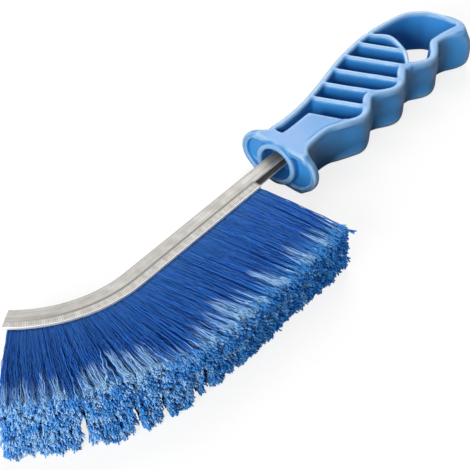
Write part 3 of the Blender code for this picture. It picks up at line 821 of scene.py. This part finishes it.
class BRUSH_OT_handle(bpy.types.Operator):
    """Build the moulded handle: ribbed grip, hang hole, guard and socket ring"""
    bl_idname = "brush.handle"
    bl_label = "Handle"

    def execute(self, context):
        scene = context.scene
        field, low = handle_field(scene, GRID_STEP)
        places, quads = surface_net(field)
        slopes = np.gradient(field)
        # Move each point along the slope on to the surface
        for _ in range(3):
            value = sample(field, places)
            slope = np.stack([sample(g, places) for g in slopes], axis=1)
            size = np.maximum((slope ** 2).sum(axis=1), 1e-12)
            places -= slope * (value / size)[:, None]
        points = places * GRID_STEP + low + np.array(SHIFT)
        piece = add_piece(
            "moulded_handle", points.tolist(), quads.tolist(),
            moulded_polypropylene(scene.brush_colours),
        )
        # Painted highlight on the moulding's convex edges, from how far each vertex stands out
        set_painted_highlight(piece.data, (edge_highlight(piece.data) - HIGHLIGHT_START) / HIGHLIGHT_RANGE)
        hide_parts("handle")
        return {"FINISHED"}


def strip_frame(strip, s):
    """Points of the wire's line, and directions to the mouth, s metres past the bend's start."""
    wire_y = strip.back_y - strip.head_width / 2
    turn = np.clip(s / strip.bend_radius, 0.0, strip.bend)
    mouth = np.stack([-np.sin(turn), -np.cos(turn)], axis=-1)
    point = np.array([strip.bend_x, wire_y + strip.bend_radius]) + mouth * strip.bend_radius
    ahead = np.stack([-np.cos(turn), np.sin(turn)], axis=-1)
    run = s - turn * strip.bend_radius
    return point + ahead * run[..., None], mouth, ahead


def strip_limits(strip):
    """Where the crimped legs start and where the strip ends, measured along the wire."""
    return strip.bend_x - strip.brush_start, strip.bend_radius * strip.bend + strip.front_run


def channel_profile(strip):
    """Half section from the back's middle to the mouth: (depth, height, how far it is marked)."""
    head, leg = strip.head_width / 2, strip.leg_width / 2
    rows = [(0.0, 0.35 * head, 0.0)]
    for turn in np.linspace(math.pi / 2, 0.0, 8):
        depth = strip.corner * (1 - math.sin(turn))
        rows.append((depth, head - strip.corner * (1 - math.cos(turn)), 0.0))
    # The crimp's seam, where the head steps in to the legs
    seam = strip.head_height
    rows += [(seam * 0.62, head, 0.0), (seam - 0.4 * MM, head, 0.0)]
    rows += [(seam - 0.1 * MM, head - 0.12 * MM, 0.0), (seam + 0.04 * MM, leg + 0.06 * MM, 0.0)]
    rows += [(seam + 0.2 * MM, leg - 0.02 * MM, 0.0), (seam + 0.45 * MM, leg, 0.2)]
    # The crimp marks' run on the legs, and the rolled lip at the mouth
    beside = 0.75 * MM
    rows += [(depth, leg, 1.0) for depth in np.linspace(seam + beside, strip.height - beside, 5)]
    for back, out in ((0.6, 0.02), (0.45, 0.2), (0.1, 0.22), (0.0, 0.0)):
        rows.append((strip.height - back * MM, leg + out * MM, 0.0))
    return rows


# Rows of the channel's mesh on the tang, and in each crimp mark
TANG_ROWS = 12
TICK_ROWS = 6

# How far the painted highlight shows on the lips and at most on the crimp marks' crests
LIP_HIGHLIGHT = 0.75
CREST_HIGHLIGHT = 0.3


class BRUSH_OT_channel(bpy.types.Operator):
    """Build the folded channel with its seam, crimp marks, lips and tang"""
    bl_idname = "brush.channel"
    bl_label = "Channel"

    def execute(self, context):
        scene = context.scene
        strip = scene.brush_strip
        outer = channel_profile(strip)
        head_inside = strip.head_width / 2 - strip.sheet
        inner = [
            (strip.height, outer[-1][1] - strip.sheet, 0.0),
            (strip.head_height + 0.4 * MM, strip.leg_width / 2 - strip.sheet, 0.0),
            (strip.head_height - 0.3 * MM, head_inside, 0.0),
            (strip.sheet + 0.8 * MM, head_inside, 0.0),
            (strip.sheet + 0.2 * MM, head_inside - 0.5 * MM, 0.0),
            (strip.sheet, 0.4 * MM, 0.0),
        ]
        loop = [(d, -h, m) for d, h, m in reversed(outer)] + outer
        loop += inner + [(d, -h, m) for d, h, m in reversed(inner)]
        loop = np.array(loop)
        start, end = strip_limits(strip)
        tang = strip.bend_x - strip.tang_end
        places = np.concatenate([
            np.linspace(tang, start - 0.02 * MM, TANG_ROWS),
            np.arange(start, end, strip.tick / TICK_ROWS),
            [end],
        ])
        point, mouth, ahead = strip_frame(strip, places)
        depth = np.repeat(loop[None, :, 0], len(places), axis=0)
        height = np.repeat(loop[None, :, 1], len(places), axis=0)
        wave = 0.5 - 0.5 * np.cos(math.tau * places / strip.tick)
        height -= np.sign(height) * loop[None, :, 2] * wave[:, None] * strip.tick_depth
        # The tang is the head alone, so there the legs are drawn up into its lower edges
        bare = places < start
        limit = strip.head_height + 0.05 * MM * (loop[:, 0] - strip.head_height) / strip.height
        depth[bare] = np.minimum(depth[bare], limit[None, :])
        legs = loop[:, 0] > strip.head_height - 0.2 * MM
        flat = strip.head_width / 2 - np.where(np.arange(len(loop)) < 2 * len(outer), 0, strip.sheet)
        tang_height = np.where(legs, np.sign(loop[:, 1]) * flat, loop[:, 1])
        height[bare] = tang_height[None, :]
        wire_depth = strip.head_width / 2
        plan = point[:, None, :] + mouth[:, None, :] * (depth - wire_depth)[..., None]
        # The front end is cut back, its lower flank square across and its upper one slantwise
        cut_run = 6 * MM
        upper = 0.5 + 0.5 * np.clip(height / (0.8 * wire_depth), -1.0, 1.0)
        slant = upper * (1 - depth / strip.height) + 0.9 * (1 - upper)
        slant *= smooth_step(places, end - cut_run, end)[:, None]
        plan -= ahead[:, None, :] * (strip.front_cut * slant)[..., None]
        points = np.concatenate([plan, height[..., None]], axis=2) + np.array(SHIFT)
        rings, sides = depth.shape
        grid = np.arange(rings * sides).reshape(rings, sides)
        after = np.roll(grid, -1, axis=1)
        quads = np.stack([grid[:-1], grid[1:], after[1:], after[:-1]], axis=-1).reshape(-1, 4)
        faces = quads.tolist() + [grid[0, ::-1].tolist(), grid[-1].tolist()]
        piece = add_piece(
            "folded_channel", points.reshape(-1, 3).tolist(), faces,
            galvanised_strip(scene.brush_colours),
        )
        edge = np.linalg.norm(np.diff(loop[:, :2], axis=0, append=loop[:1, :2]), axis=1)
        around = np.cumsum(edge)
        layer = piece.data.uv_layers.new(name="strip")
        corners = np.zeros(len(piece.data.loops), int)
        piece.data.loops.foreach_get("vertex_index", corners)
        uv = np.stack([places[corners // sides], around[corners % sides]], axis=1)
        layer.data.foreach_set("uv", uv.ravel())
        lip = loop[:, 0] > strip.height - 0.2 * MM
        # Painted highlight on the lips and the crimp marks' crests; on the crests it is uneven: two
        # waves of 11 and 4 mm beat along the strip
        uneven = 0.5 + 0.5 * np.sin(places / (1.7 * MM)) * np.sin(places / (0.6 * MM))
        crest = CREST_HIGHLIGHT * loop[None, :, 2] * (uneven * (1 - wave))[:, None]
        set_painted_highlight(piece.data, np.maximum(crest, LIP_HIGHLIGHT * lip[None, :]))
        piece.data.set_sharp_from_angle(angle=math.radians(50))
        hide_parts("channel")
        return {"FINISHED"}


class BRUSH_OT_core_wire(bpy.types.Operator):
    """Give the core wire its drawn steel finish"""
    bl_idname = "brush.core_wire"
    bl_label = "Core wire"

    def execute(self, context):
        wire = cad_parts["core_wire"]
        wire.data.materials.clear()
        wire.data.materials.append(drawn_wire(context.scene.brush_colours))
        return {"FINISHED"}


def tubes(centres, across, radii):
    """Three-sided tubes along rows of centres; across is each tube's sideways direction."""
    count, rows = centres.shape[:2]
    ahead = np.gradient(centres, axis=1)
    up = np.cross(ahead, across[:, None, :])
    up /= np.maximum(np.linalg.norm(up, axis=2), 1e-9)[..., None]
    rings = []
    for turn in np.arange(3) * math.tau / 3:
        offset = across[:, None, :] * math.cos(turn) + up * math.sin(turn)
        rings.append(centres + offset * radii[..., None])
    points = np.stack(rings, axis=2)
    number = np.arange(count * rows * 3).reshape(count, rows, 3)
    beside = np.roll(number, -1, axis=2)
    quads = np.stack([number[:, :-1], beside[:, :-1], beside[:, 1:], number[:, 1:]], axis=-1)
    caps = np.concatenate([number[:, 0, ::-1], number[:, -1]])
    return points.reshape(-1, 3), quads.reshape(-1, 4), caps


# Rows of points from the mouth to a tip, and round the wire
HAIR_ROWS = 13
FOLD_ROWS = 5

# Clumps differ from one band of layers to the next, and their tones in finer bands and widths.
# Chance values are kept by cell along the wire, and the first cell is this many before the bend.
CLUMP_BANDS = 4
TONE_BANDS = 10
TONE_WIDTH = 1.5 * MM
CELLS = 400
FIRST_CELL = 120

# How far clumps and tones shift the tips' reach, and how far a stray one may
CLUMP_REACH = 2.6 * MM
TONE_REACH = 1.4 * MM
STRAY_SHARE = 0.025
STRAY_SPREAD = 1.6 * MM
STRAY_REACH = (-3.0 * MM, 1.6 * MM)

# Places along the wire, past the bend's start, where the tips part, and the widest half gap
PARTINGS = (-29 * MM, 8 * MM, 10.5 * MM, 17 * MM, 22 * MM, 31 * MM)
PARTED = 1.35 * MM


def scatter(scene):
    """Centre lines of all doubled filaments, tip to tip, and what each needs for its looks."""
    strip, hair = scene.brush_strip, scene.brush_filaments
    rng = np.random.default_rng(hair.seed)
    start, end = strip_limits(strip)
    end -= strip.front_bare
    count = hair.count
    wire_depth = strip.head_width / 2
    # Bare ends of the row, half of the slit amid the filaments, and room beside the legs
    margin, slit, clear = 0.4 * MM, 0.15 * MM, 0.1 * MM
    place = np.sort(rng.uniform(start + margin, end - margin, count))
    layer = rng.uniform(0.0, 1.0, count)
    # Radius at which each filament folds round the wire
    fold = 0.8 * MM + layer * 0.5 * MM
    inner_leg = strip.leg_width / 2 - strip.sheet - clear
    beside = slit + layer * (inner_leg - slit)
    t = np.linspace(0.0, 1.0, HAIR_ROWS)
    legs = []
    for side in (1, -1):
        # Rows of clumps, each layer's cells set off against the next one's
        band = np.floor(layer * CLUMP_BANDS).astype(int)
        shift = rng.uniform(0.0, 1.0, CLUMP_BANDS)[band]
        cell = np.floor(place / hair.clump + shift)
        dice = np.random.default_rng(hair.seed + 10 + side).uniform(0.0, 1.0, (CLUMP_BANDS, CELLS))
        luck = dice[band, (cell + FIRST_CELL).astype(int) % CELLS]
        centre = (cell - shift + 0.3 + 0.4 * luck) * hair.clump
        band = np.floor(layer * TONE_BANDS).astype(int)
        cell = np.floor(place / TONE_WIDTH + shift * 3)
        dice = np.random.default_rng(hair.seed + 20 + side).uniform(0.0, 1.0, (TONE_BANDS, CELLS))
        tone = dice[band, (cell + FIRST_CELL).astype(int) % CELLS]
        # The tone is mostly the fine cell's, with a part from the clump and from the place
        rearward = 1 - smooth_step(place, start, end)
        tint = 0.2 * luck + 0.55 * tone + 0.25 * rearward
        # Tips are drawn to their clump's middle, and lean inwards at both ends of the brush
        pull = rng.uniform(0.2, 0.6, count)
        tip = place + (centre - place) * pull + rng.normal(0.0, 0.25 * MM, count)
        tip += hair.rear_lean * np.clip(1 - (place - start) / hair.lean_run, 0.0, 1.0)
        tip -= hair.front_lean * np.clip(1 - (end - place) / hair.lean_run, 0.0, 1.0)
        # Half width of the partings: widest below, closed towards the upper face
        parted = PARTED * (0.7 + 0.3 * layer if side < 0 else 0.7 - 1.6 * layer)
        for parting in PARTINGS:
            before = np.minimum(tip, parting - parted)
            behind = np.maximum(tip, parting + parted)
            cleared = np.where(place < parting, before, behind)
            tip = np.where(parted > 0, cleared, tip)
        stray = rng.uniform(0.0, 1.0, count) < STRAY_SHARE
        tip = np.where(stray, tip + rng.normal(0.0, STRAY_SPREAD, count), tip)
        tip = np.minimum(tip, end - np.where(stray, 0.2, 0.6) * hair.front_lean)
        reach = hair.free + (luck - 0.5) * CLUMP_REACH + (tone - 0.5) * TONE_REACH
        reach += rng.normal(0.0, hair.uneven, count)
        reach = np.where(stray, reach + rng.uniform(*STRAY_REACH, count), reach)
        reach = np.minimum(reach, hair.free + STRAY_REACH[1])
        # Height at the tips, a little fuller towards the flat faces
        far = side * (0.2 * MM + layer ** 0.85 * (hair.spread / 2 - 0.3 * MM))
        far = np.clip(far + rng.normal(0.0, 0.35 * MM, count), -hair.spread / 2, hair.spread / 2)
        # Round the bend the trim runs slantwise: shorter above, longer below
        reach -= far * 0.3 * smooth_step(place, 4 * MM, 24 * MM)
        along = place[:, None] + (tip - place)[:, None] * t ** 1.5
        # Past the first third of its length, each filament wavers at its full width
        free = np.minimum(t * 3, 1.0)
        sway = rng.normal(0.0, 0.16 * MM, (count, HAIR_ROWS)) * free
        depth = strip.height - wire_depth + reach[:, None] * t
        height = side * beside[:, None] * (1 - t) + far[:, None] * t
        height = height + rng.normal(0.0, 0.12 * MM, (count, HAIR_ROWS)) * free
        limit = scene.brush_grip.thickness / 2 - hair.radius
        legs.append((along + sway, depth, np.clip(height, -limit, limit), tint))
    turns = np.linspace(math.pi * 0.5, math.pi * 1.5, FOLD_ROWS)
    folds = (np.repeat(place[:, None], FOLD_ROWS, 1), fold[:, None] * np.cos(turns),
             fold[:, None] * np.sin(turns))
    along, depth, height = (
        np.concatenate([upper[:, ::-1], middle, lower], axis=1)
        for upper, middle, lower in zip(legs[0], folds, legs[1])
    )
    point, mouth, _ = strip_frame(strip, along)
    plan = point + mouth * depth[..., None]
    centres = np.concatenate([plan, height[..., None]], axis=2)
    flat = np.concatenate([strip_frame(strip, place)[2], np.zeros((count, 1))], axis=1)
    share = np.concatenate([t[::-1], np.zeros(FOLD_ROWS), t])
    upper_rows = HAIR_ROWS + FOLD_ROWS // 2
    tints = np.where(np.arange(len(share)) < upper_rows, legs[0][3][:, None], legs[1][3][:, None])
    return place, centres, flat, share, tints, rng


# Each tip splits into this many ends, which spread past it. Their lines have three points, with
# these radii and places along the filament; the first lies back from the tip by a share of the
# last span, and the last one past it.
SPLIT_ENDS = 4
SPLIT_RADII = (0.13 * MM, 0.24 * MM, 0.31 * MM)
SPLIT_PLACES = np.array([0.9, 0.97, 1.0])
SPLIT_BACK = 0.9
SPLIT_PAST = 0.12

# Standard and greatest spread of the ends in millimetres, and how far they bow
SPLIT_SPREAD = 0.5
SPLIT_LIMIT = 1.0
SPLIT_BOW = 0.12 * MM


def split_ends(spine, tints, rng):
    """Lines, radii, places, tints and chance values of the ends at both tips of filaments."""
    count = len(spine)
    for tip, inner in ((0, 1), (-1, -2)):
        root = spine[:, tip] + (spine[:, inner] - spine[:, tip]) * SPLIT_BACK
        for _ in range(SPLIT_ENDS):
            end = spine[:, tip] + (spine[:, tip] - spine[:, inner]) * SPLIT_PAST
            spread = rng.normal(0.0, SPLIT_SPREAD, (count, 3))
            end = end + np.clip(spread, -SPLIT_LIMIT, SPLIT_LIMIT) * MM
            middle = (root + end) / 2 + rng.normal(0.0, SPLIT_BOW, (count, 3))
            line = np.stack([root, middle, end], axis=1)
            tint = tints[:, tip]
            # Half of each end's tone is its tuft's, so that tufts hold together
            chance = 0.5 * rng.uniform(0.0, 1.0, count) + 0.5 * tint
            radii = np.repeat([SPLIT_RADII], count, axis=0)
            yield line, radii, SPLIT_PLACES, np.repeat(tint[:, None], 3, axis=1), chance


class BRUSH_OT_filaments(bpy.types.Operator):
    """Build the filaments, doubled round the wire, with split tips"""
    bl_idname = "brush.filaments"
    bl_label = "Filaments"

    def execute(self, context):
        scene = context.scene
        finish = extruded_filament(scene.brush_colours)
        place, centres, flat, share, tints, rng = scatter(scene)
        start, end = strip_limits(scene.brush_strip)
        end -= scene.brush_strip.front_bare
        chance = rng.uniform(0.0, 1.0, len(place))
        bundle = ((place - start) / (end - start) * len(BUNDLES)).astype(int)
        # The last fifth of each filament swells a little
        swell = 0.05 * MM
        radii = scene.brush_filaments.radius + swell * smooth_step(share, 0.8, 1.0)
        low, high = CAD_BOX[0].z - SHIFT.z, CAD_BOX[1].z - SHIFT.z
        for i, node in enumerate(BUNDLES):
            mine = bundle == i
            spine = centres[mine]
            size = np.repeat(radii[None, :], len(spine), axis=0)
            groups = [(spine, size, share, tints[mine], chance[mine])]
            groups += split_ends(spine, tints[mine], rng)
            points, faces, facts = [], [], []
            offset = 0
            for line, size, along, tint, luck in groups:
                verts, quads, caps = tubes(line, flat[mine], size)
                verts[:, 2] = np.clip(verts[:, 2], low, high)
                faces += (quads + offset).tolist() + (caps + offset).tolist()
                offset += len(verts)
                points.append(verts)
                fact = np.zeros((*line.shape[:2], 3))
                fact[..., 0] = along[None, :]
                fact[..., 1] = luck[:, None]
                fact[..., 2] = tint
                facts.append(np.repeat(fact, 3, axis=1).reshape(-1, 3))
            points = np.vstack(points) + np.array(SHIFT)
            piece = add_piece(f"filaments_{i + 1:02d}", points.tolist(), faces, finish)
            layer = piece.data.attributes.new("strand", "FLOAT_VECTOR", "POINT")
            layer.data.foreach_set("vector", np.vstack(facts).ravel())
            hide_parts(node)
        return {"FINISHED"}


# Half of the table's side in metres, and how far it lies below the brush
TABLE_HALF = 3.0
TABLE_GAP = 0.05 * MM

# The studio's white is for the rays of the camera and the gloss; the rest get this dim light
DIM_STRENGTH = 0.08

# Soft boxes: name, place, side in metres and watts; all face the brush's middle
LAMPS = (
    ("key_softbox", (-0.35, 0.35, 1.05), 0.7, 2.0),
    ("back_softbox", (0.65, 0.53, 0.7), 0.65, 9.5),
    ("front_fill", (-1.05, -0.17, 0.42), 0.6, 16.0),
)

# The camera's place, from the socket's front in plan and from the table in height, its tilt
# from straight down, its turn about the upright, and its lens in millimetres
CAMERA_X = -325.7 * MM
CAMERA_Y = -247.7 * MM
CAMERA_HEIGHT = 363.0 * MM
CAMERA_TILT = math.radians(46.3)
CAMERA_TURN = math.radians(-50.62)
CAMERA_LENS = 107.8
CAMERA_SENSOR = 36.0
CAMERA_NEAR = 0.01


class BRUSH_OT_stage(bpy.types.Operator):
    """Set the table, the soft light and the camera"""
    bl_idname = "brush.stage"
    bl_label = "Stage"

    def execute(self, context):
        scene = context.scene
        mesh = bpy.data.meshes.new("table")
        z = CAD_BOX[0].z - TABLE_GAP
        signs = ((-1, -1), (1, -1), (1, 1), (-1, 1))
        corners = [(x * TABLE_HALF, y * TABLE_HALF, z) for x, y in signs]
        mesh.from_pydata(corners, [], [(0, 1, 2, 3)])
        mesh.materials.append(table_material(scene.brush_colours))
        table = bpy.data.objects.new("table", mesh)
        scene.collection.objects.link(table)

        world = bpy.data.worlds.new("studio")
        scene.world = world
        world.use_nodes = True
        tree = world.node_tree
        tree.nodes.clear()
        dim = add_node(tree, "Background", {"Color": WHITE, "Strength": DIM_STRENGTH})
        white = add_node(tree, "Background", {"Color": WHITE, "Strength": 1.0})
        both = add_node(tree, "MixShader", {0: seen_rays(tree), 1: dim, 2: white})
        add_node(tree, "OutputWorld", {"Surface": both})

        for name, place, size, watts in LAMPS:
            light = bpy.data.lights.new(name, "AREA")
            light.shape = "SQUARE"
            light.size = size
            light.energy = watts
            lamp = bpy.data.objects.new(name, light)
            lamp.location = place
            lamp.rotation_euler = (-Vector(place)).to_track_quat("-Z", "Y").to_euler()
            scene.collection.objects.link(lamp)

        camera = bpy.data.objects.new("camera", bpy.data.cameras.new("camera"))
        camera.data.sensor_width = CAMERA_SENSOR
        camera.data.lens = CAMERA_LENS
        camera.data.clip_start = CAMERA_NEAR
        camera.location = (
            CAMERA_X + SHIFT.x, CAMERA_Y + SHIFT.y, CAMERA_HEIGHT + CAD_BOX[0].z,
        )
        camera.rotation_euler = Euler((CAMERA_TILT, 0.0, CAMERA_TURN))
        scene.collection.objects.link(camera)
        scene.camera = camera
        scene.view_settings.view_transform = "Standard"
        return {"FINISHED"}


class BRUSH_PT_panel(bpy.types.Panel):
    """Sizes, colours and build steps of the brush"""
    bl_idname = "BRUSH_PT_panel"
    bl_label = "Hand brush"
    bl_space_type = "VIEW_3D"
    bl_region_type = "UI"
    bl_category = "Brush"

    def draw(self, context):
        for name, label, group in GROUPS:
            box = self.layout.box()
            box.label(text=label)
            values = getattr(context.scene, name)
            for key in group.__annotations__:
                box.prop(values, key)
        for operator in OPERATORS:
            self.layout.operator(operator.bl_idname)


OPERATORS = (
    BRUSH_OT_handle, BRUSH_OT_channel, BRUSH_OT_core_wire, BRUSH_OT_filaments, BRUSH_OT_stage,
)


def register():
    for name, _, group in GROUPS:
        bpy.utils.register_class(group)
        setattr(bpy.types.Scene, name, PointerProperty(type=group))
    for cls in (*OPERATORS, BRUSH_PT_panel):
        bpy.utils.register_class(cls)


def unregister():
    for cls in (BRUSH_PT_panel, *reversed(OPERATORS)):
        bpy.utils.unregister_class(cls)
    for name, _, group in reversed(GROUPS):
        delattr(bpy.types.Scene, name)
        bpy.utils.unregister_class(group)


def main():
    register()
    bpy.ops.brush.handle()
    bpy.ops.brush.channel()
    bpy.ops.brush.core_wire()
    bpy.ops.brush.filaments()
    bpy.ops.brush.stage()


if __name__ == "__main__":
    main()
